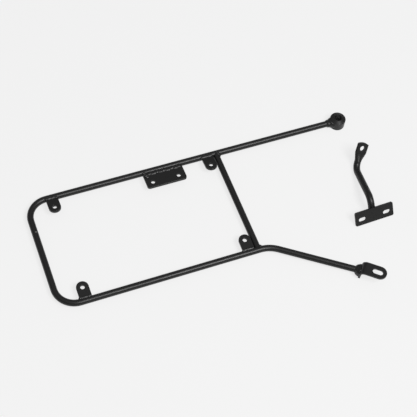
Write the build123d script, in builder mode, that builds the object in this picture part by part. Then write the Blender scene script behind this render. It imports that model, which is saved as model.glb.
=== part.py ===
from build123d import *
import os
from math import asin, atan2, cos, hypot, radians, sin, sqrt

# Pannier frame: a hoop of bent round steel bar that carries a bag at four drilled tabs, with a turned
# mounting eye, a slotted lug and a loose two-bolt stay. Millimetres, lying flat on the floor, +Z up.
# The origin is the centre of the eye's bore on its flat underside. +X runs along the rails to the front.

# Hoop of round bar
bar_d = 12.0
rail_length = 625.5         # eye to the axis of the hoop's rear side
loop_height = 221.0         # between the axes of the two rails
corner_radius = 37.5        # centre line of the two rear bends
crossbar_offset = 370.0     # rear side to crossbar
bend_ahead = 21.0           # crossbar to the corner where the lower leg starts
leg_angle = 35.0            # how far the leg turns down out of the lower rail
leg_bend_radius = 55.0
leg_length = 168.5          # bend corner to the lug
cope_blunt = 2.0            # how far short of a rail's axis the crossbar's fish mouth ends

# Turned mounting eye
boss_d = 30.5
boss_wall_height = 18.0     # straight wall below the cone
boss_cone_height = 3.0
boss_crown_d = 16.0         # flat ring round the bore
eye_bore_d = 13.0
boss_drop = 10.5            # underside to the bar's axis
boss_edge = 0.8

# Bag tabs
tab_width = 22.5
tab_thickness = 5.0
tab_lift = 4.3              # upper side of the tabs and the two-hole plate above the bar's axis
upper_tab_tilt = 9.5        # free end stands higher than the foot
lower_tab_tilt = 3.5
upper_tab_reach = 26.0      # rail axis to hole, along the tab
lower_tab_reach = 24.3
rear_tab_offset = 47.9      # rear side to hole
upper_tab_gap = 1.8         # between tab and crossbar
lower_tab_gap = 0.2
bolt_hole_d = 8.0
plate_edge = 0.5            # rounding left on sheared edges

# Two-hole plate for the stay
mount_length = 77.0
mount_tilt = 4.5            # free edge stands higher than the foot
mount_reach = 39.2          # rail axis to the free edge, along the plate
mount_offset = 260.5        # rear side to the middle of the plate
mount_hole_spacing = 50.5
mount_hole_edge = 11.2      # free edge to the hole centres
mount_corner = 5.0

# Slotted lug at the end of the leg
lug_turn = 4.5              # how much further down the lug points than the leg
lug_width = 25.0
lug_thickness = 4.0
lug_reach = 47.0            # flange face to the round end
lug_rise = 15.0             # top of the slotted leg above the bar's axis
lug_drop = 6.5              # flange below the bar's axis
lug_inner_radius = 6.0
slot_width = 10.0
slot_length = 19.0
slot_end = 7.0              # metal left beyond the slot

# Loose stay: slotted plate, double-bent rod and forged flat end
stay_x = -22.0              # where the plate's lower edge lies, from the eye
stay_y = -227.0
stay_turn = 1.8             # plate's edge against the rails, seen from above
stay_plate_length = 78.5
stay_plate_height = 27.5
stay_plate_thickness = 3.0
stay_plate_corner = 3.0
stay_slot_edge = 11.0       # lower edge to the slots
stay_slot_length = 14.5
rod_d = 13.0
rod_lap_start = 11.0        # rod's lower end above the plate's lower edge
rod_rise = 42.0             # first corner above the plate's lower edge
rod_bend_radius = 19.0
stay_step_side = 17.0       # from the first corner to the second
stay_step_up = 25.5
stay_step_back = 87.0
end_turn = 26.0             # how far the flat end points away from the rod's first stretch
end_length = 52.0           # second corner to the tip
end_width = 24.0
end_thickness = 4.5
end_shoulder = 17.0         # round neck to full width
end_flat = 20.5             # full width to the tip
end_tip_rise = 3.5          # height of the curved tip
end_hole_d = 10.0
end_hole_edge = 11.5        # tip to hole

# Weld metal
ring_reach = 6.0            # how far the ring weld spreads on the eye
ring_rise = 1.5             # its height over and under the bar
ring_length = 9.5           # how far it runs along the bar
ring_toe = 0.4              # its thickness where it ends
lug_bead_rise = 2.5         # height of the lug's ring weld over the bar
lug_bead_body = 5.0         # its full part along the bar
lug_bead_length = 10.5
lug_bead_corner = 6.0
lug_bead_thin = 1.6         # how much the full part draws in
flange_margin = 0.3         # flange left showing round that weld
saddle_bead_r = 3.2
saddle_lift = 1.6           # bead's middle off the corner
saddle_span = 60.0          # half of the angle that it wraps
tab_bead_spread = 4.0       # to each side of the corner between tab and rail
tab_bead_rise = 2.2
mount_bead_shift = 2.4      # middle of the bead beyond that corner
mount_bead_spread = 4.4
mount_bead_rise = 2.1
mount_hook_reach = 14.0     # rail axis to the end of the bead's turn down the plate's rear end
mount_hook_r = 1.8
stay_fillet = 4.5

bar_r = bar_d / 2
boss_r = boss_d / 2
rod_r = rod_d / 2
bar_z = boss_drop
rear_x = -rail_length
lower_y = -loop_height
cross_x = rear_x + crossbar_offset
bend_corner = Vector(cross_x + bend_ahead, lower_y, bar_z)
leg_way = Vector(cos(radians(leg_angle)), -sin(radians(leg_angle)), 0)
lug_way = Vector(cos(radians(leg_angle + lug_turn)), -sin(radians(leg_angle + lug_turn)), 0)
leg_end = bend_corner + leg_way * leg_length
plate_top_z = bar_z + tab_lift
rear_tab_x = rear_x + rear_tab_offset
upper_tab_x = cross_x - bar_r - upper_tab_gap - tab_width / 2
lower_tab_x = cross_x - bar_r - lower_tab_gap - tab_width / 2
mount_x = rear_x + mount_offset

os.makedirs("parts", exist_ok=True)


def save(piece, name):
    """Label one finished piece and write it under its own name."""
    piece.part.label = name
    export_step(piece.part, f"parts/{name}.step")


# Eye: turned boss with a straight wall, a shallow cone on top and a through bore
boss_height = boss_wall_height + boss_cone_height
with BuildPart() as eye_boss:
    with BuildSketch(Plane.XZ):
        with BuildLine():
            Polyline(
                (eye_bore_d / 2, 0),
                (boss_r, 0),
                (boss_r, boss_wall_height),
                (boss_crown_d / 2, boss_height),
                (eye_bore_d / 2, boss_height),
                close=True,
            )
        make_face()
    revolve(axis=Axis.Z)
    rims = eye_boss.edges().filter_by(GeomType.CIRCLE).sort_by(SortBy.RADIUS)
    fillet(rims[-2:], boss_edge)
    chamfer(rims[:2].sort_by(Axis.Z)[-1], boss_edge)
save(eye_boss, "eye_boss")

# Hoop: one bar bent round the rear and out into the lower leg. Its front end is coped to the eye
# and the leg is cut square to the lug.
with BuildPart() as hoop_bar:
    with BuildLine():
        FilletPolyline(
            (0, 0, bar_z),
            (rear_x, 0, bar_z),
            (rear_x, lower_y, bar_z),
            bend_corner,
            leg_end + leg_way * bar_r,
            radius=[corner_radius, corner_radius, leg_bend_radius],
        )
    with BuildSketch(Plane(origin=(0, 0, bar_z), z_dir=(-1, 0, 0))):
        Circle(bar_r)
    sweep()
    split(bisect_by=Plane(origin=leg_end, z_dir=lug_way), keep=Keep.BOTTOM)
    Cylinder(boss_r, boss_height, align=(Align.CENTER, Align.CENTER, Align.MIN), mode=Mode.SUBTRACT)
save(hoop_bar, "hoop_bar")

# Crossbar: straight bar between the rails, both ends fish-mouthed to them, with blunt tips
with BuildPart() as cross_bar:
    with BuildSketch(Plane(origin=(cross_x, lower_y + cope_blunt, bar_z), z_dir=(0, 1, 0))):
        Circle(bar_r)
    extrude(amount=loop_height - 2 * cope_blunt)
    add(hoop_bar.part, mode=Mode.SUBTRACT)
save(cross_bar, "cross_bar")


def plate_plane(mid_x, rail_y, inward, tilt):
    """Upper side of a plate on a rail: local Y runs from the rail's axis towards the middle of the hoop."""
    upright = (0, -inward * sin(radians(tilt)), cos(radians(tilt)))
    return Plane(origin=(mid_x, rail_y, plate_top_z), x_dir=(inward, 0, 0), z_dir=upright)


def bag_tab(hole_x, rail_y, inward, reach, tilt):
    """Round-ended tab with one hole."""
    tab_plane = plate_plane(hole_x, rail_y, inward, tilt)
    with BuildPart() as tab:
        with BuildSketch(tab_plane):
            with Locations((0, reach / 2)):
                Rectangle(tab_width, reach)
            with Locations((0, reach)):
                Circle(tab_width / 2)
                Circle(bolt_hole_d / 2, mode=Mode.SUBTRACT)
        extrude(amount=-tab_thickness)
        flats = tab.faces().filter_by(Axis((0, 0, 0), tab_plane.z_dir))
        fillet(flats.edges().filter_by(GeomType.CIRCLE), plate_edge)
        add(hoop_bar.part, mode=Mode.SUBTRACT)
        add(cross_bar.part, mode=Mode.SUBTRACT)
    return tab


def foot_bead(plate, mid_x, rail_y, inward, tilt, length, shift, spread, rise):
    """Flat bead along the foot of a plate, over the corner between its upper side and the rail."""
    slope = sin(radians(tilt)) / cos(radians(tilt))
    corner = (sqrt(bar_r**2 * (1 + slope**2) - tab_lift**2) - tab_lift * slope) / (1 + slope**2)
    middle = corner + shift
    bead_plane = Plane(
        (mid_x, rail_y + inward * middle, plate_top_z + middle * slope), x_dir=(0, 1, 0), z_dir=(1, 0, 0)
    )
    with BuildPart() as bead:
        with BuildSketch(bead_plane):
            Ellipse(spread, rise)
        extrude(amount=length / 2, both=True)
        fillet(bead.edges().filter_by(GeomType.ELLIPSE), 0.9 * rise**2 / spread)
        add(hoop_bar.part, mode=Mode.SUBTRACT)
        add(cross_bar.part, mode=Mode.SUBTRACT)
        add(plate.part, mode=Mode.SUBTRACT)
    return bead


# Bag tabs: two behind the rear bends, two beside the crossbar, with their beads
tab_places = {
    "rear_upper": (rear_tab_x, 0, -1, upper_tab_reach, upper_tab_tilt),
    "rear_lower": (rear_tab_x, lower_y, 1, lower_tab_reach, lower_tab_tilt),
    "front_upper": (upper_tab_x, 0, -1, upper_tab_reach, upper_tab_tilt),
    "front_lower": (lower_tab_x, lower_y, 1, lower_tab_reach, lower_tab_tilt),
}
for place, (hole_x, rail_y, inward, reach, tilt) in tab_places.items():
    tab = bag_tab(hole_x, rail_y, inward, reach, tilt)
    tab_bead = foot_bead(tab, hole_x, rail_y, inward, tilt, tab_width, 0, tab_bead_spread, tab_bead_rise)
    save(tab, f"tab_{place}")
    save(tab_bead, f"weld_tab_{place}")

# Saddle welds on the crossbar's front side, one bead round each corner with the rails
for place, rail_y, inward in (("upper", 0, -1), ("lower", lower_y, 1)):
    corner_way = Vector(1, inward, 0).normalized()
    corner_plane = Plane(
        origin=(cross_x, rail_y, bar_z), x_dir=corner_way, z_dir=corner_way.cross(Vector(0, 0, 1))
    )
    with BuildPart() as saddle:
        with BuildLine(corner_plane) as saddle_path:
            EllipticalCenterArc(
                (0, 0), bar_r * sqrt(2) + saddle_lift, bar_r, -saddle_span, arc_size=2 * saddle_span
            )
        with BuildSketch(Plane(origin=saddle_path.line @ 0, z_dir=saddle_path.line % 0)):
            Circle(saddle_bead_r)
        sweep()
        with Locations(saddle_path.line @ 0, saddle_path.line @ 1):
            Sphere(saddle_bead_r)
        add(hoop_bar.part, mode=Mode.SUBTRACT)
        add(cross_bar.part, mode=Mode.SUBTRACT)
    save(saddle, f"weld_cross_{place}")

# Two-hole plate on the upper rail, with rounded free corners
mount_plane = plate_plane(mount_x, 0, -1, mount_tilt)
mount_hole_reach = mount_reach - mount_hole_edge
with BuildPart() as stay_mount_plate:
    with BuildSketch(mount_plane) as mount_outline:
        Rectangle(mount_length, mount_reach, align=(Align.CENTER, Align.MIN))
        fillet(mount_outline.vertices().group_by(Axis.Y)[-1], mount_corner)
        with Locations((0, mount_hole_reach)):
            with GridLocations(mount_hole_spacing, 1, 2, 1):
                Circle(bolt_hole_d / 2, mode=Mode.SUBTRACT)
    extrude(amount=-tab_thickness)
    flats = stay_mount_plate.faces().filter_by(Axis((0, 0, 0), mount_plane.z_dir))
    fillet(flats.edges().filter_by(GeomType.CIRCLE), plate_edge)
    add(hoop_bar.part, mode=Mode.SUBTRACT)
save(stay_mount_plate, "stay_mount_plate")

# Its bead: a wide weave along the whole foot, with a hook down the rear end
weave = foot_bead(
    stay_mount_plate, mount_x, 0, -1, mount_tilt, mount_length, mount_bead_shift,
    mount_bead_spread, mount_bead_rise,
)
hook_x = mount_length / 2 - mount_bead_rise
with BuildPart() as weld_mount_plate:
    with Locations(mount_plane):
        with Locations((hook_x, (mount_hook_reach + bar_r) / 2)):
            Cylinder(mount_hook_r, mount_hook_reach - bar_r, rotation=(90, 0, 0))
        with Locations((hook_x, mount_hook_reach)):
            Sphere(mount_hook_r)
    add(stay_mount_plate.part, mode=Mode.SUBTRACT)
    add(hoop_bar.part, mode=Mode.SUBTRACT)
    add(weave.part)
save(weld_mount_plate, "weld_mount_plate")

# Ring weld where the hoop meets the eye
ring_base_x = -boss_r / 2
with BuildPart() as weld_eye:
    with BuildSketch(Plane(origin=(ring_base_x, 0, bar_z), x_dir=(0, 1, 0), z_dir=(-1, 0, 0))):
        Ellipse(bar_r + ring_reach, bar_r + ring_rise)
    with BuildSketch(Plane(origin=(-boss_r - ring_length, 0, bar_z), x_dir=(0, 1, 0), z_dir=(-1, 0, 0))):
        Ellipse(bar_r + ring_toe, bar_r + ring_toe)
    loft()
    add(eye_boss.part, mode=Mode.SUBTRACT)
    add(hoop_bar.part, mode=Mode.SUBTRACT)
save(weld_eye, "weld_eye")

# Lug: folded plate, its flange across the end of the leg and its upper leg slotted
side_plane = Plane(origin=leg_end, x_dir=lug_way, z_dir=lug_way.cross(Vector(0, 0, 1)))
plan_plane = Plane(origin=leg_end, x_dir=lug_way, z_dir=(0, 0, 1))
lug_end = lug_reach - lug_width / 2
with BuildPart() as slotted_lug:
    with BuildSketch(side_plane):
        with BuildLine():
            FilletPolyline(
                (0, -lug_drop),
                (0, lug_rise),
                (lug_reach, lug_rise),
                (lug_reach, lug_rise - lug_thickness),
                (lug_thickness, lug_rise - lug_thickness),
                (lug_thickness, -lug_drop),
                radius=[lug_inner_radius + lug_thickness, 0, 0, lug_inner_radius],
            )
            Line((lug_thickness, -lug_drop), (0, -lug_drop))
        make_face()
    extrude(amount=lug_width / 2, both=True)
    with BuildSketch(plan_plane.offset(-lug_drop)):
        Rectangle(lug_end, lug_width, align=(Align.MIN, Align.CENTER))
        with Locations((lug_end, 0)):
            Circle(lug_width / 2)
    extrude(amount=lug_drop + lug_rise, mode=Mode.INTERSECT)
    with BuildSketch(plan_plane):
        with Locations((lug_reach - slot_end - slot_length / 2, 0)):
            SlotOverall(slot_length, slot_width)
    extrude(amount=lug_rise, mode=Mode.SUBTRACT)
    flats = slotted_lug.faces().filter_by(Axis.Z).sort_by(Axis.Z)
    fillet(flats[-2:].edges().filter_by(GeomType.CIRCLE), plate_edge)
save(slotted_lug, "slotted_lug")

# Ring weld where the leg meets the lug's flange, filling it nearly to its edges
flange_low = lug_drop - flange_margin
flange_high = bar_r + lug_bead_rise
bead_mid = (flange_high - flange_low) / 2
bead_height = flange_high + flange_low
bead_width = lug_width - 2 * flange_margin
toe_d = bar_d + 2 * ring_toe
flange_plane = Plane(origin=leg_end + lug_way * lug_thickness / 2, x_dir=(0, 0, 1), z_dir=-lug_way)
body_plane = Plane(origin=leg_end - leg_way * lug_bead_body, x_dir=(0, 0, 1), z_dir=-leg_way)
toe_plane = Plane(origin=leg_end - leg_way * lug_bead_length, x_dir=(0, 0, 1), z_dir=-leg_way)
with BuildPart() as weld_lug:
    with BuildSketch(flange_plane):
        with Locations((bead_mid, 0)):
            RectangleRounded(bead_height, bead_width, lug_bead_corner)
    with BuildSketch(body_plane):
        with Locations((bead_mid, 0)):
            RectangleRounded(bead_height - lug_bead_thin, bead_width - 2 * lug_bead_thin, lug_bead_corner)
    with BuildSketch(toe_plane):
        RectangleRounded(toe_d, toe_d, toe_d * 0.49)
    loft()
    add(slotted_lug.part, mode=Mode.SUBTRACT)
    add(hoop_bar.part, mode=Mode.SUBTRACT)
save(weld_lug, "weld_lug")


# Stay: its own plane has X along the plate's lower edge, Y up the plate and Z out of its front face
rod_depth = -(stay_plate_thickness + rod_r)
end_way = Vector(sin(radians(end_turn)), cos(radians(end_turn)), 0)
first_corner = Vector(0, rod_rise, rod_depth)
second_corner = first_corner + Vector(stay_step_side, stay_step_up, -stay_step_back)
end_tip = second_corner + end_way * end_length
neck_end = end_tip - end_way * (end_flat + end_shoulder)


def rod_line(plane):
    """Centre line of the stay's rod from behind the plate to the neck of its flat end."""
    with BuildLine(plane) as line:
        FilletPolyline(
            (0, rod_lap_start, rod_depth),
            tuple(first_corner),
            tuple(second_corner),
            tuple(neck_end),
            radius=rod_bend_radius,
        )
    return line.line


# The stay rests on the back of its plate's lower edge and on the second bend of the rod,
# which sets how steeply the plate leans.
elbow = rod_line(Plane.XY).edges().filter_by(GeomType.CIRCLE).sort_by(Axis.Z)[0]
elbow_points = [elbow @ (step / 20) for step in range(21)]
lean = max(
    atan2(-(p.Z + stay_plate_thickness), p.Y) + asin(rod_r / hypot(p.Y, p.Z + stay_plate_thickness))
    for p in elbow_points
)
turn = radians(stay_turn)
stay_plane = Plane(
    origin=(stay_x, stay_y, stay_plate_thickness * cos(lean)),
    x_dir=(cos(turn), sin(turn), 0),
    z_dir=(sin(turn) * sin(lean), -cos(turn) * sin(lean), cos(lean)),
)

# Slotted plate that bolts to the frame's two-hole plate
with BuildPart() as stay_plate:
    with BuildSketch(stay_plane):
        with Locations((0, stay_plate_height / 2)):
            RectangleRounded(stay_plate_length, stay_plate_height, stay_plate_corner)
        with Locations((0, stay_slot_edge)):
            with GridLocations(mount_hole_spacing, 1, 2, 1):
                SlotOverall(stay_slot_length, bolt_hole_d, mode=Mode.SUBTRACT)
    extrude(amount=-stay_plate_thickness)
save(stay_plate, "stay_plate")

# Forged flat end: round-edged section with a curved tip and one hole
end_plane = Plane(
    origin=stay_plane.from_local_coords(second_corner),
    x_dir=stay_plane.from_local_coords(end_tip) - stay_plane.from_local_coords(second_corner),
    z_dir=stay_plane.z_dir,
)
shoulder_at = end_length - end_flat
section_plane = Plane(
    origin=end_plane.from_local_coords((shoulder_at, 0)), x_dir=end_plane.y_dir, z_dir=end_plane.x_dir
)
with BuildPart() as flat_end:
    with BuildSketch(section_plane):
        SlotOverall(end_width, end_thickness)
    extrude(amount=end_flat)
    with BuildSketch(end_plane.offset(-end_thickness)):
        with BuildLine():
            ThreePointArc(
                (end_length - end_tip_rise, end_width / 2),
                (end_length, 0),
                (end_length - end_tip_rise, -end_width / 2),
            )
            Polyline(
                (end_length - end_tip_rise, -end_width / 2),
                (shoulder_at, -end_width / 2),
                (shoulder_at, end_width / 2),
                (end_length - end_tip_rise, end_width / 2),
            )
        make_face()
        with Locations((end_length - end_hole_edge, 0)):
            Circle(end_hole_d / 2, mode=Mode.SUBTRACT)
    extrude(amount=2 * end_thickness, mode=Mode.INTERSECT)

# Rod: solid round bar lapped on the plate's back, bent twice and drawn out into the flat end
rod_path = rod_line(stay_plane)
with BuildPart() as stay_rod:
    with BuildSketch(Plane(origin=rod_path @ 0, z_dir=rod_path % 0)):
        Circle(rod_r)
    sweep(path=rod_path)
    with BuildSketch(section_plane.offset(-end_shoulder)):
        Circle(rod_r)
    with BuildSketch(section_plane):
        SlotOverall(end_width, end_thickness)
    loft()
    add(flat_end.part)
save(stay_rod, "stay_rod")

# Fillet weld round the rod's lap on the plate's back
lap_length = stay_plate_height - rod_lap_start
with BuildPart() as weld_stay:
    with BuildSketch(stay_plane.offset(-stay_plate_thickness)):
        with Locations((0, stay_plate_height - (lap_length + stay_fillet) / 2)):
            RectangleRounded(rod_r + 2 * stay_fillet, lap_length + stay_fillet, stay_fillet)
    with BuildSketch(stay_plane.offset(-stay_plate_thickness - stay_fillet)):
        with Locations((0, stay_plate_height - (lap_length + stay_fillet) / 2)):
            RectangleRounded(rod_d * 0.9, lap_length - stay_fillet + 1, stay_fillet)
    loft()
    add(stay_rod.part, mode=Mode.SUBTRACT)
save(weld_stay, "weld_stay")
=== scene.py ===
import math
import random

import bpy
from mathutils import Matrix, Vector


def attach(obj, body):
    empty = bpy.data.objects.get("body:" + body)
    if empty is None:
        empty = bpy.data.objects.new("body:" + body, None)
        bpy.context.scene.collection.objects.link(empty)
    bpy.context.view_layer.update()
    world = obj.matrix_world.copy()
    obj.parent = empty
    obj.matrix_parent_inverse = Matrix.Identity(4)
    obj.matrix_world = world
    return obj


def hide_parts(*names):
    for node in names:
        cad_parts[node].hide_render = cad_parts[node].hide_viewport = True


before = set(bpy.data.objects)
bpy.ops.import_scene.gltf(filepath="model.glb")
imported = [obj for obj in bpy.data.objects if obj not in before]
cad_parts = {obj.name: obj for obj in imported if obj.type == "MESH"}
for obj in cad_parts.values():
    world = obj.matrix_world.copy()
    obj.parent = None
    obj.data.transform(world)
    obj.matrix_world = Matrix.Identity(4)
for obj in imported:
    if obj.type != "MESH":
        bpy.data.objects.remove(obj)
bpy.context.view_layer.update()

# Hoop: one length of 12 mm mild steel bar, cold bent round the rear and out into the lower leg.
# The whole frame is sprayed with black powder after welding and baked, so every piece shares one skin.
# One chip on the rear side goes down to the grey undercoat.
RAIL_LENGTH = 0.6255            # eye to the axis of the rear side
BAR_RADIUS = 0.006
BAR_AXIS_Z = 0.0105
COAT_BLACK = "#151515"
COAT_IOR = 1.42
COAT_ROUGHNESS = 0.37
GLOSS_CHANGE = 0.03             # how far the roughness wanders to either side
MOTTLE_WIDTH = 0.045            # patches of more and of less gloss along the bars
PEEL_WIDTH = 0.004              # orange peel is nearer 1.5 mm; drawn wider so that it shows
PEEL_DEPTH = 0.000006
NOISE_LOW = 0.3                 # nearly all of a noise pattern lies between these two values,
NOISE_HIGH = 0.7
NOISE_MEAN = 0.5                # and this is their mean
CHIP_GREY = "#6E6E6B"
CHIP_Y = -0.0648
CHIP_TURN = math.radians(71.6)  # up round the bar from the side that faces into the hoop
CHIP_RADIUS = 0.0016
CHIP_NICK = 0.0008              # width of the nicks round its edge
FACTOR, COLOUR_A, COLOUR_B, COLOUR_OUT = 0, 6, 7, 2     # sockets of a Mix node for colours


def linear(hex_colour):
    """sRGB hex to linear RGBA."""
    values = [int(hex_colour[i:i + 2], 16) / 255 for i in (1, 3, 5)]
    return [v / 12.92 if v <= 0.04045 else ((v + 0.055) / 1.055) ** 2.4 for v in values] + [1.0]


def add_node(tree, kind, settings=None, links=None):
    """Add a node, set its properties and sockets, and link its inputs."""
    node = tree.nodes.new(kind)
    for name, value in (settings or {}).items():
        if isinstance(name, int) or name in node.inputs:
            node.inputs[name].default_value = value
        else:
            setattr(node, name, value)
    for name, source in (links or {}).items():
        tree.links.new(source, node.inputs[name])
    return node


def powder_coat(name, roughness, peel_depth):
    """Satin polyester powder: a dark skin with soft-edged highlights, broken a little by orange peel."""
    material = bpy.data.materials.new(name)
    material.use_nodes = True
    tree = material.node_tree
    shader = tree.nodes["Principled BSDF"]
    shader.inputs["Base Color"].default_value = linear(COAT_BLACK)
    shader.inputs["IOR"].default_value = COAT_IOR
    place = add_node(tree, "ShaderNodeTexCoord")
    mottle = add_node(
        tree, "ShaderNodeTexNoise",
        {"Scale": 1 / MOTTLE_WIDTH, "Detail": 2.0},
        {"Vector": place.outputs["Object"]},
    )
    gloss = add_node(
        tree, "ShaderNodeMapRange",
        {
            "From Min": NOISE_LOW, "From Max": NOISE_HIGH,
            "To Min": roughness - GLOSS_CHANGE, "To Max": roughness + GLOSS_CHANGE,
        },
        {"Value": mottle.outputs["Fac"]},
    )
    peel = add_node(
        tree, "ShaderNodeTexNoise",
        {"Scale": 1 / PEEL_WIDTH, "Detail": 1.0},
        {"Vector": place.outputs["Object"]},
    )
    bump = add_node(
        tree, "ShaderNodeBump",
        {"Strength": 1.0, "Distance": peel_depth},
        {"Height": peel.outputs["Fac"]},
    )
    tree.links.new(gloss.outputs["Result"], shader.inputs["Roughness"])
    tree.links.new(bump.outputs["Normal"], shader.inputs["Normal"])
    return material


def dress(node, material):
    """Give a CAD node its finish."""
    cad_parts[node].data.materials.clear()
    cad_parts[node].data.materials.append(material)


coat = powder_coat("satin_black_powder_coat", COAT_ROUGHNESS, PEEL_DEPTH)

# The chip shows as a small grey fleck with a ragged edge in the black.
chip_middle = (
    -RAIL_LENGTH + BAR_RADIUS * math.cos(CHIP_TURN), CHIP_Y, BAR_AXIS_Z + BAR_RADIUS * math.sin(CHIP_TURN)
)
chipped = coat.copy()
chipped.name = "satin_black_powder_coat_chipped"
chip_tree = chipped.node_tree
chip_place = add_node(chip_tree, "ShaderNodeTexCoord")
chip_edge = add_node(
    chip_tree, "ShaderNodeTexNoise", {"Scale": 1 / CHIP_NICK}, {"Vector": chip_place.outputs["Object"]}
)
chip_reach = add_node(
    chip_tree, "ShaderNodeVectorMath",
    {"operation": "DISTANCE", 1: chip_middle},
    {0: chip_place.outputs["Object"]},
)
chip_ragged = add_node(
    chip_tree, "ShaderNodeMath",
    {"operation": "MULTIPLY_ADD", 1: CHIP_RADIUS},
    {0: chip_edge.outputs["Fac"], 2: chip_reach.outputs["Value"]},
)
chip_mask = add_node(
    chip_tree, "ShaderNodeMath",
    {"operation": "LESS_THAN", 1: (1 + NOISE_MEAN) * CHIP_RADIUS},
    {0: chip_ragged.outputs["Value"]},
)
chip_colour = add_node(
    chip_tree, "ShaderNodeMix",
    {"data_type": "RGBA", COLOUR_A: linear(COAT_BLACK), COLOUR_B: linear(CHIP_GREY)},
    {FACTOR: chip_mask.outputs["Value"]},
)
chip_shader = chip_tree.nodes["Principled BSDF"]
chip_tree.links.new(chip_colour.outputs[COLOUR_OUT], chip_shader.inputs["Base Color"])
dress("hoop_bar", chipped)

# Crossbar: a second length of the same bar, cut to a fish mouth at both ends and set between the rails.
# It takes the same coat as the hoop.
dress("cross_bar", coat)

# Eye: a boss turned from round steel with a shallow cone and a through bore, set on the bar's coped end.
# Lower down, the bore's wall is painted near black as shade and made matte, so the bore darkens
# downwards.
BORE_RADIUS = 0.0065
BORE_SKIN = 0.0001              # what lies up to this far outside the bore's radius is its wall,
BORE_MOUTH = 0.0006             # and what lies further out than this is the boss's own surface
BORE_FULL_SHADE_Z = 0.012             # painted shade is full below this height and gone above the next
BORE_NO_SHADE_Z = 0.0145
# near black of the shade painted deep in the bore
BORE_SHADE_BLACK = "#080808"
BORE_ROUGHNESS = 0.85
VALUE_A, VALUE_B, VALUE_OUT = 2, 3, 0           # sockets of a Mix node for numbers
bored = coat.copy()
bored.name = "satin_black_powder_coat_and_painted_bore_shade"
bore_tree = bored.node_tree
bore_shader = bore_tree.nodes["Principled BSDF"]
coat_roughness = bore_shader.inputs["Roughness"].links[0].from_socket
bore_place = add_node(bore_tree, "ShaderNodeTexCoord")
bore_plan = add_node(
    bore_tree, "ShaderNodeVectorMath",
    {"operation": "MULTIPLY", 1: (1, 1, 0)},
    {0: bore_place.outputs["Object"]},
)
bore_reach = add_node(
    bore_tree, "ShaderNodeVectorMath", {"operation": "LENGTH"}, {0: bore_plan.outputs["Vector"]}
)
bore_wall = add_node(
    bore_tree, "ShaderNodeMapRange",
    {
        "From Min": BORE_RADIUS + BORE_SKIN, "From Max": BORE_RADIUS + BORE_MOUTH,
        "To Min": 1.0, "To Max": 0.0,
    },
    {"Value": bore_reach.outputs["Value"]},
)
bore_height = add_node(bore_tree, "ShaderNodeSeparateXYZ", {}, {0: bore_place.outputs["Object"]})
bore_depth = add_node(
    bore_tree, "ShaderNodeMapRange",
    {"From Min": BORE_FULL_SHADE_Z, "From Max": BORE_NO_SHADE_Z, "To Min": 1.0, "To Max": 0.0},
    {"Value": bore_height.outputs["Z"]},
)
bore_shade_and_matte = add_node(
    bore_tree, "ShaderNodeMath", {"operation": "MULTIPLY"},
    {0: bore_wall.outputs["Result"], 1: bore_depth.outputs["Result"]},
)
# Painted shade: the coat's colour turns near black down the bore's wall, where shade falls in the hole.
bore_shade_colour = add_node(
    bore_tree, "ShaderNodeMix",
    {"data_type": "RGBA", COLOUR_A: linear(COAT_BLACK), COLOUR_B: linear(BORE_SHADE_BLACK)},
    {FACTOR: bore_shade_and_matte.outputs["Value"]},
)
bore_gloss = add_node(
    bore_tree, "ShaderNodeMix",
    {"data_type": "FLOAT", VALUE_B: BORE_ROUGHNESS},
    {FACTOR: bore_shade_and_matte.outputs["Value"], VALUE_A: coat_roughness},
)
bore_tree.links.new(bore_shade_colour.outputs[COLOUR_OUT], bore_shader.inputs["Base Color"])
bore_tree.links.new(bore_gloss.outputs[VALUE_OUT], bore_shader.inputs["Roughness"])
dress("eye_boss", bored)

# Ring weld at the eye: one pass of arc weld carried round the bar, flaring out on both sides of the
# boss. Each pulse of the torch leaves one scale of steel, and the scales run together into a rippled
# bead under the coat.
BOSS_RADIUS = 0.01525
RING_SCALES = 28
RING_SIDES = (0.0118, 0.0126, 0.0084, 0.0090)           # reach to the far side, near side, over and under
RING_SQUARE = 2                                         # 2 for an oval flare, more for a squarer one
RING_ROWS = ((0.0, 1.0), (0.0045, 0.4), (0.0095, 0.0))  # distance from the wall, share of the flare
RING_TOE = 0.0003               # thickness of the weld where it ends on the bar
RING_WANDER = 0.0004            # unsteadiness of the hand
RING_SCALE_LENGTH = 0.0026      # half of a scale along the pass
RING_SCALE_LAP = 0.0006         # how far it laps over its row at each side
RING_SCALE_HEIGHT = (0.0013, 0.0017)
RING_SCALE_SINK = 0.0007        # how far its middle lies below the line from row to row
SCALE_RADIUS = 0.003            # the one scale that is modelled, before it is fitted to its place
SCALE_TAIL_X = -0.0005          # what lies behind this is its tail, drawn back and down
SCALE_LEAN = 0.0009
SCALE_FLAT = 0.7
TORCH_SEED = 7                  # the hand wanders in the same way in each run
BEAD_GRAIN = 0.0004             # finest ripple that a bead keeps
BEAD_ROUGHNESS = 0.36
BEAD_PEEL_DEPTH = 0.000015

# Powder gathers on the ripples, so its peel is deeper there and a bead glints in small broken spots.
bead_coat = powder_coat("satin_black_powder_coat_on_weld", BEAD_ROUGHNESS, BEAD_PEEL_DEPTH)

bpy.ops.object.select_all(action="DESELECT")
bpy.ops.mesh.primitive_uv_sphere_add(segments=20, ring_count=10, radius=SCALE_RADIUS)
weld_scale = bpy.context.object
weld_scale.name = "weld_scale"
bpy.context.tool_settings.mesh_select_mode = (True, False, False)
for vertex in weld_scale.data.vertices:
    vertex.select = vertex.co.x < SCALE_TAIL_X
bpy.ops.object.mode_set(mode="EDIT")
bpy.ops.transform.translate(value=(-SCALE_LEAN, 0, -SCALE_LEAN))
bpy.ops.mesh.select_all(action="SELECT")
bpy.ops.transform.resize(value=(1, 1, SCALE_FLAT), center_override=(0, 0, 0))
bpy.ops.mesh.vertices_smooth(factor=0.5, repeat=2)
bpy.ops.object.mode_set(mode="OBJECT")
torch = random.Random(TORCH_SEED)


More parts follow.
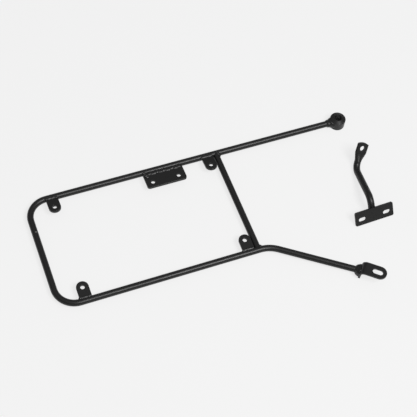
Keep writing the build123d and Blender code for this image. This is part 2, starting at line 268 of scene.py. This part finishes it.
def scale_place(point, along, out, length, width, height):
    """Where one scale lies: its middle, travel direction, outward direction and half sizes."""
    travel = Vector(along).normalized()
    across = Vector(out).cross(travel).normalized()
    normal = travel.cross(across)
    sizes = (length / SCALE_RADIUS, width / SCALE_RADIUS, height / (SCALE_RADIUS * SCALE_FLAT))
    turn = Matrix((travel, across, normal)).transposed().to_4x4()
    return Matrix.Translation(Vector(point)) @ turn @ Matrix.Diagonal((*sizes, 1))


def lay_bead(name, node, places):
    """Copy the scale to each place, run the copies together and let the bead stand for its CAD weld."""
    copies = []
    for place in places:
        bpy.ops.object.select_all(action="DESELECT")
        weld_scale.select_set(True)
        bpy.context.view_layer.objects.active = weld_scale
        bpy.ops.object.duplicate()
        copies.append(bpy.context.object)
        copies[-1].matrix_world = place
    bpy.ops.object.select_all(action="DESELECT")
    for copy in copies:
        copy.select_set(True)
    bpy.context.view_layer.objects.active = copies[0]
    bpy.ops.object.join()
    bead = bpy.context.object
    bead.name = name
    bpy.ops.object.transform_apply(location=True, rotation=True, scale=True)
    remesh = bead.modifiers.new("run_together", "REMESH")
    remesh.mode = "VOXEL"
    remesh.voxel_size = BEAD_GRAIN
    bpy.ops.object.modifier_apply(modifier=remesh.name)
    flow = bead.modifiers.new("flow", "SMOOTH")
    flow.factor = 0.5
    flow.iterations = 3
    bpy.ops.object.modifier_apply(modifier=flow.name)
    bpy.ops.object.shade_smooth()
    bead.data.materials.clear()
    bead.data.materials.append(bead_coat)
    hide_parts(node)
    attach(bead, "root")


def ring_places(centre, axis, count, sides, square, rows, wall):
    """Scales of a ring weld round a bar that meets a wall. Each row gives a distance from the wall and
    the share of the weld's flare that is left there; the scales span from row to row."""
    places = []
    axis = Vector(axis).normalized()
    upward = Vector((0, 0, 1))
    sideways = upward.cross(axis).normalized()
    far, near, over, under = sides
    skin = BAR_RADIUS + RING_TOE
    for step in range(count):
        angle = 2 * math.pi * step / count
        spoke = sideways * math.cos(angle) + upward * math.sin(angle)
        travel = sideways * -math.sin(angle) + upward * math.cos(angle)
        wide = far if math.cos(angle) > 0 else near
        high = over if math.sin(angle) > 0 else under
        flare = (
            abs(math.cos(angle) / wide) ** square + abs(math.sin(angle) / high) ** square
        ) ** (-1 / square)
        points = []
        for distance, share in rows:
            point = Vector(centre) + spoke * (skin + share * (flare - skin))
            point -= axis * (distance + torch.uniform(-RING_WANDER, RING_WANDER))
            points.append(point + axis * share * wall(spoke * flare))
        for root, toe in zip(points, points[1:]):
            slope = root - toe
            out = slope.cross(travel)
            out = out if out.dot(spoke) > 0 else -out
            middle = (root + toe) / 2 - out.normalized() * RING_SCALE_SINK
            places.append(
                scale_place(middle, travel, out, RING_SCALE_LENGTH, slope.length / 2 + RING_SCALE_LAP,
                            torch.uniform(*RING_SCALE_HEIGHT))
            )
    return places


def boss_wall(offset):
    """How far the boss's round wall falls back beside the bar."""
    return BOSS_RADIUS - math.sqrt(max(BOSS_RADIUS ** 2 - offset.y ** 2, 0))


lay_bead(
    "bead_eye", "weld_eye",
    ring_places((-BOSS_RADIUS, 0, BAR_AXIS_Z), (1, 0, 0), RING_SCALES, RING_SIDES, RING_SQUARE, RING_ROWS,
                boss_wall),
)

# Crossbar welds: a short pass of the same arc weld round each front corner between crossbar and rail.
# The bead climbs over the two bars like a saddle, so its scales turn with the corner.
LOOP_HEIGHT = 0.221             # between the axes of the two rails
CROSS_X = -RAIL_LENGTH + 0.370
SADDLE_SCALES = 15
SADDLE_SPAN = math.radians(62)  # half of the angle that the bead wraps
SADDLE_LIFT = 0.0018            # bead's middle off the corner
SADDLE_SCALE_SINK = 0.0006
SADDLE_SCALE_LENGTH = 0.0017
SADDLE_SCALE_WIDTH = (0.0038, 0.0045)
SADDLE_SCALE_HEIGHT = (0.0022, 0.0027)
for place, rail_y, inward in (("upper", 0.0, -1), ("lower", -LOOP_HEIGHT, 1)):
    corner = Vector((CROSS_X, rail_y, BAR_AXIS_Z))
    corner_way = Vector((1, inward, 0)).normalized()
    corner_reach = BAR_RADIUS * math.sqrt(2) + SADDLE_LIFT
    saddle = []
    for step in range(SADDLE_SCALES):
        angle = SADDLE_SPAN * (2 * step / (SADDLE_SCALES - 1) - 1)
        rise = Vector((0, 0, BAR_RADIUS * math.sin(angle)))
        point = corner + corner_way * (corner_reach * math.cos(angle)) + rise
        travel = corner_way * -math.sin(angle) + Vector((0, 0, math.cos(angle)))
        out = corner_way * math.cos(angle) + Vector((0, 0, math.sin(angle)))
        saddle.append(
            scale_place(point - out * SADDLE_SCALE_SINK, travel, out, SADDLE_SCALE_LENGTH,
                        torch.uniform(*SADDLE_SCALE_WIDTH), torch.uniform(*SADDLE_SCALE_HEIGHT))
        )
    lay_bead(f"bead_cross_{place}", f"weld_cross_{place}", saddle)

# Bag tabs: four round-ended tabs cut from 5 mm steel plate, one 8 mm hole each, two just ahead of the
# rear bends and two beside the crossbar, their free ends a little raised. A bead over the corner with
# the rail holds each of them.
TAB_LIFT = 0.0043               # upper side of the tabs and the two-hole plate above the bar's axis
TAB_WIDTH = 0.0225
REAR_TAB_X = -RAIL_LENGTH + 0.0479
FRONT_TAB_X = CROSS_X - BAR_RADIUS - TAB_WIDTH / 2
UPPER_TAB_GAP = 0.0018          # between tab and crossbar
LOWER_TAB_GAP = 0.0002
UPPER_TAB_TILT = math.radians(9.5)
LOWER_TAB_TILT = math.radians(3.5)
UPPER_TAB_FOOT = 0.0050         # rail's axis to the middle of the bead
LOWER_TAB_FOOT = 0.0042
FOOT_SCALES = 8
FOOT_INSET = 0.002              # edge of the tab to the middle of the first scale
FOOT_LIFT = 0.0004
FOOT_WANDER = 0.0003
FOOT_FACE = (0, -0.5, 0.87)     # the scales of all four beads lean towards the lower rail
FOOT_SCALE_LENGTH = (0.0026, 0.0034)
FOOT_SCALE_WIDTH = (0.0028, 0.0034)
FOOT_SCALE_HEIGHT = (0.0014, 0.0018)
tab_places = {
    "rear_upper": (REAR_TAB_X, 0.0, -1, UPPER_TAB_TILT, UPPER_TAB_FOOT),
    "rear_lower": (REAR_TAB_X, -LOOP_HEIGHT, 1, LOWER_TAB_TILT, LOWER_TAB_FOOT),
    "front_upper": (FRONT_TAB_X - UPPER_TAB_GAP, 0.0, -1, UPPER_TAB_TILT, UPPER_TAB_FOOT),
    "front_lower": (FRONT_TAB_X - LOWER_TAB_GAP, -LOOP_HEIGHT, 1, LOWER_TAB_TILT, LOWER_TAB_FOOT),
}


def plate_top(reach, tilt):
    """Height of a tilted plate's upper side at a distance from the rail's axis."""
    return BAR_AXIS_Z + TAB_LIFT + reach * math.tan(tilt)


for place, (tab_x, rail_y, inward, tilt, foot_reach) in tab_places.items():
    dress(f"tab_{place}", coat)
    foot = []
    for step in range(FOOT_SCALES):
        x = tab_x + (TAB_WIDTH - 2 * FOOT_INSET) * (step / (FOOT_SCALES - 1) - 0.5)
        reach = foot_reach + torch.uniform(-FOOT_WANDER, FOOT_WANDER)
        foot.append(
            scale_place((x, rail_y + inward * reach, plate_top(reach, tilt) + FOOT_LIFT), (1, 0, 0),
                        FOOT_FACE, torch.uniform(*FOOT_SCALE_LENGTH),
                        torch.uniform(*FOOT_SCALE_WIDTH), torch.uniform(*FOOT_SCALE_HEIGHT))
        )
    lay_bead(f"bead_tab_{place}", f"weld_tab_{place}", foot)

# Two-hole plate for the stay: cut from the same 5 mm plate, with rounded free corners. A wide bead,
# woven from side to side in two rows, runs along its whole foot and hooks down its rear end.
MOUNT_X = -RAIL_LENGTH + 0.2605
MOUNT_LENGTH = 0.077
MOUNT_TILT = math.radians(4.5)
WEAVE_STEPS = 24
WEAVE_INSET = 0.004             # end of the plate to the middle of the first scale
WEAVE_ROWS = ((0.0066, 0.15), (0.0102, 0.55))   # distance from the rail's axis, lean of the scales
WEAVE_WAY = (1, 0.1, 0)
WEAVE_SWING = 0.0007            # how far the torch swings to each side,
WEAVE_TURN = 1.3                # and how far the swing goes on between two scales, in radians
WEAVE_WANDER = 0.0004
WEAVE_LIFT = 0.0002
WEAVE_SCALE_LENGTH = (0.0036, 0.0044)
WEAVE_SCALE_WIDTH = (0.0027, 0.0031)
WEAVE_SCALE_HEIGHT = (0.0012, 0.0015)
HOOK_SCALES = 4
HOOK_REACH = 0.0048             # rail's axis to the hook's first scale
HOOK_PITCH = 0.0037
HOOK_INSET = 0.0044             # rear end of the plate to the hook's first scale
HOOK_DRIFT = 0.0012             # how much further in each next scale lies
HOOK_LIFT = 0.0010
HOOK_FACE = (0, -0.58, 1)
HOOK_SCALE = (0.0040, 0.0026, 0.0011)           # half of its length, width and height
dress("stay_mount_plate", coat)
weave = []
for step in range(WEAVE_STEPS):
    x = MOUNT_X + (MOUNT_LENGTH - 2 * WEAVE_INSET) * (step / (WEAVE_STEPS - 1) - 0.5)
    swing = WEAVE_SWING * math.sin(step * WEAVE_TURN)
    for row_reach, lean in WEAVE_ROWS:
        reach = row_reach + swing + torch.uniform(-WEAVE_WANDER, WEAVE_WANDER)
        weave.append(
            scale_place((x, -reach, plate_top(reach, MOUNT_TILT) + WEAVE_LIFT), WEAVE_WAY, (0, -lean, 1),
                        torch.uniform(*WEAVE_SCALE_LENGTH), torch.uniform(*WEAVE_SCALE_WIDTH),
                        torch.uniform(*WEAVE_SCALE_HEIGHT))
        )
for step in range(HOOK_SCALES):
    reach = HOOK_REACH + HOOK_PITCH * step
    x = MOUNT_X - MOUNT_LENGTH / 2 + HOOK_INSET + HOOK_DRIFT * step
    weave.append(
        scale_place((x, -reach, plate_top(reach, MOUNT_TILT) + HOOK_LIFT), WEAVE_WAY, HOOK_FACE, *HOOK_SCALE)
    )
lay_bead("bead_mount_plate", "weld_mount_plate", weave)

# Slotted lug: 4 mm steel strip folded once into a flange across the end of the hoop's leg and a slotted
# tongue. A heavy ring weld joins bar and flange and runs out nearly to the flange's edges.
BEND_AHEAD = 0.021              # crossbar to the corner where the hoop's leg starts
LEG_LENGTH = 0.1685             # that corner to the flange
LEG_ANGLE = math.radians(35)    # how far the leg turns down out of the lower rail
LUG_SCALES = 30
LUG_SIDES = (0.0110, 0.0126, 0.0085, 0.0064)
LUG_SQUARE = 4                  # squarer than the eye's flare, as the flange is
LUG_ROWS = ((-0.0018, 1.0), (0.0045, 0.8), (0.0095, 0.0))       # the first row runs on into the fold
leg_way = Vector((math.cos(LEG_ANGLE), -math.sin(LEG_ANGLE), 0))
leg_end = Vector((CROSS_X + BEND_AHEAD, -LOOP_HEIGHT, BAR_AXIS_Z)) + leg_way * LEG_LENGTH


def flange_wall(offset):
    """The flange is flat, so it falls back nowhere."""
    return 0.0


dress("slotted_lug", coat)
lay_bead(
    "bead_lug", "weld_lug",
    ring_places(leg_end, leg_way, LUG_SCALES, LUG_SIDES, LUG_SQUARE, LUG_ROWS, flange_wall),
)

# Stay rod: 13 mm round bar of mild steel, bent twice and forged out into a flat end with one hole.
# It has the frame's coat and lies loose beside the frame, as before it is bolted on.
dress("stay_rod", coat)

# Stay plate: cut from 3 mm steel plate, with two slots that match the holes of the two-hole plate.
# The rod is welded on its back, and both are coated together.
dress("stay_plate", coat)

# Stay weld: a fillet of arc weld down both sides and round the end of the rod's lap on the back of the
# plate. Its scales face out of the corner between rod and plate.
STAY_X = -0.022                 # where the plate's lower edge lies
STAY_Y = -0.227
STAY_TURN = math.radians(1.8)   # plate's edge against the rails, seen from above
STAY_LEAN = math.radians(55.851)
STAY_THICKNESS = 0.003
LAP_START = 0.011               # rod's lower end above the plate's lower edge
LAP_END = 0.0275                # upper edge of the plate
SIDE_SCALES = 9
SIDE_STOP = 0.0015              # how far short of the plate's upper edge the sides end
SIDE_REACH = 0.0056             # rod's axis to the middle of the scales along the sides
SIDE_DEPTH = 0.0016             # back of the plate to their middle
ROUND_SCALES = 7
ROUND_REACH = 0.0052            # the same two round the end
ROUND_DEPTH = 0.0014
ROUND_SCALE_WIDTH = 0.0028
FILLET_SCALE_LENGTH = 0.0016
FILLET_SCALE_WIDTH = (0.0026, 0.0032)
FILLET_SCALE_HEIGHT = 0.0016
stay_edge = Vector((STAY_X, STAY_Y, STAY_THICKNESS * math.cos(STAY_LEAN)))
stay_along = Vector((math.cos(STAY_TURN), math.sin(STAY_TURN), 0))
stay_front = Vector((
    math.sin(STAY_TURN) * math.sin(STAY_LEAN),
    -math.cos(STAY_TURN) * math.sin(STAY_LEAN),
    math.cos(STAY_LEAN),
))
stay_up = stay_front.cross(stay_along)
fillet = []
for side in (-1, 1):
    for step in range(SIDE_SCALES):
        up = LAP_START + (LAP_END - LAP_START - SIDE_STOP) * step / (SIDE_SCALES - 1)
        point = stay_edge + stay_along * (side * SIDE_REACH) + stay_up * up
        point -= stay_front * (STAY_THICKNESS + SIDE_DEPTH)
        fillet.append(
            scale_place(point, stay_up * side, stay_along * side - stay_front, FILLET_SCALE_LENGTH,
                        torch.uniform(*FILLET_SCALE_WIDTH), FILLET_SCALE_HEIGHT)
        )
for step in range(ROUND_SCALES):
    angle = math.pi * (step + 1) / (ROUND_SCALES + 1)
    spoke = stay_along * math.cos(angle) - stay_up * math.sin(angle)
    point = stay_edge + stay_up * LAP_START + spoke * ROUND_REACH
    point -= stay_front * (STAY_THICKNESS + ROUND_DEPTH)
    fillet.append(
        scale_place(point, spoke.cross(stay_front), spoke - stay_front, FILLET_SCALE_LENGTH,
                    ROUND_SCALE_WIDTH, FILLET_SCALE_HEIGHT)
    )
lay_bead("bead_stay", "weld_stay", fillet)
bpy.data.objects.remove(weld_scale)

# Floor: a wide sheet of pale paper. The camera and reflections see most of it at its own colour, and
# the rest takes the light, so the object keeps a faint shadow.
OBJECT_MIDDLE = Vector((-0.3, -0.15, 0.0))
FLOOR_PALE = "#F4F4F4"
FLOOR_RADIUS = 14.0
SHADOW_SHARE = 0.16
bpy.ops.object.select_all(action="DESELECT")
bpy.ops.mesh.primitive_circle_add(
    vertices=96, radius=FLOOR_RADIUS, fill_type="NGON", location=OBJECT_MIDDLE
)
floor = bpy.context.object
floor.name = "floor"
sheet = bpy.data.materials.new("pale_paper_sheet")
sheet.use_nodes = True
sheet_tree = sheet.node_tree
sheet_tree.nodes.clear()
paper = add_node(sheet_tree, "ShaderNodeBsdfDiffuse", {"Color": linear(FLOOR_PALE)})
even = add_node(sheet_tree, "ShaderNodeEmission", {"Color": linear(FLOOR_PALE), "Strength": 1.0})
rays = add_node(sheet_tree, "ShaderNodeLightPath")
seen = add_node(
    sheet_tree, "ShaderNodeMath", {"operation": "MAXIMUM"},
    {0: rays.outputs["Is Camera Ray"], 1: rays.outputs["Is Glossy Ray"]},
)
seen_through = add_node(
    sheet_tree, "ShaderNodeMath", {"operation": "MAXIMUM"},
    {0: seen.outputs["Value"], 1: rays.outputs["Is Transmission Ray"]},
)
even_share = add_node(
    sheet_tree, "ShaderNodeMath", {"operation": "MULTIPLY", 1: 1 - SHADOW_SHARE},
    {0: seen_through.outputs["Value"]},
)
blend = add_node(
    sheet_tree, "ShaderNodeMixShader", {},
    {0: even_share.outputs["Value"], 1: paper.outputs["BSDF"], 2: even.outputs["Emission"]},
)
add_node(sheet_tree, "ShaderNodeOutputMaterial", {}, {"Surface": blend.outputs["Shader"]})
floor.data.materials.append(sheet)

# Studio: grey walls that are pale along the horizon, a lighter ceiling, and one large round softbox
# high on the lower rail's side that draws a line along the rails.
WALL_GREY = "#868686"
CEILING_GREY = "#B8B8B8"
WALL_FOOT = 0.02                # the floor's paleness fades up the walls between these two heights,
WALL_CLEAR = 0.09               # given as the sine of the angle above the horizon,
CEILING_EDGE = 0.55             # and the walls turn into the ceiling between these
CEILING_CLEAR = 0.8
KEY_WAY = Vector((0.24, -0.47, 0.85)).normalized()
KEY_DISTANCE = 4.0
KEY_SIZE = 1.82
KEY_WATTS = 112.0
world = bpy.data.worlds.new("studio")
bpy.context.scene.world = world
world.use_nodes = True
room = world.node_tree
room.nodes.clear()
room_way = add_node(room, "ShaderNodeTexCoord")
room_height = add_node(room, "ShaderNodeSeparateXYZ", {}, {0: room_way.outputs["Generated"]})
wall_rise = add_node(
    room, "ShaderNodeMapRange",
    {"From Min": WALL_FOOT, "From Max": WALL_CLEAR},
    {"Value": room_height.outputs["Z"]},
)
walls = add_node(
    room, "ShaderNodeMix",
    {"data_type": "RGBA", COLOUR_A: linear(FLOOR_PALE), COLOUR_B: linear(WALL_GREY)},
    {FACTOR: wall_rise.outputs["Result"]},
)
overhead = add_node(
    room, "ShaderNodeMapRange",
    {"From Min": CEILING_EDGE, "From Max": CEILING_CLEAR},
    {"Value": room_height.outputs["Z"]},
)
walls_and_ceiling = add_node(
    room, "ShaderNodeMix",
    {"data_type": "RGBA", COLOUR_B: linear(CEILING_GREY)},
    {FACTOR: overhead.outputs["Result"], COLOUR_A: walls.outputs[COLOUR_OUT]},
)
glow = add_node(
    room, "ShaderNodeBackground", {"Strength": 1.0}, {"Color": walls_and_ceiling.outputs[COLOUR_OUT]}
)
add_node(room, "ShaderNodeOutputWorld", {}, {"Surface": glow.outputs["Background"]})

bpy.ops.object.light_add(type="AREA", location=OBJECT_MIDDLE + KEY_WAY * KEY_DISTANCE)
key = bpy.context.object
key.name = "softbox"
key.data.shape = "DISK"
key.data.size = KEY_SIZE
key.data.energy = KEY_WATTS
key.rotation_euler = KEY_WAY.to_track_quat("Z", "Y").to_euler()

# Camera: a long lens above the lower rail's side and behind the hoop, looking down across the frame at
# the photograph's angle and framing. Its right and up directions are unit vectors.
CAMERA_PLACE = (-0.7848, -1.0495, 1.6937)
CAMERA_RIGHT = Vector((0.9349, -0.348, 0.0692))
CAMERA_UP = Vector((0.2624, 0.8095, 0.5253))
CAMERA_LENS = 93.13
CAMERA_SENSOR = 36.0
bpy.ops.object.camera_add(location=CAMERA_PLACE)
camera = bpy.context.object
camera.name = "camera"
camera.data.lens = CAMERA_LENS
camera.data.sensor_width = CAMERA_SENSOR
camera.rotation_euler = Matrix(
    (CAMERA_RIGHT, CAMERA_UP, CAMERA_RIGHT.cross(CAMERA_UP))
).transposed().to_euler()
scene = bpy.context.scene
scene.camera = camera
scene.view_settings.view_transform = "Standard"
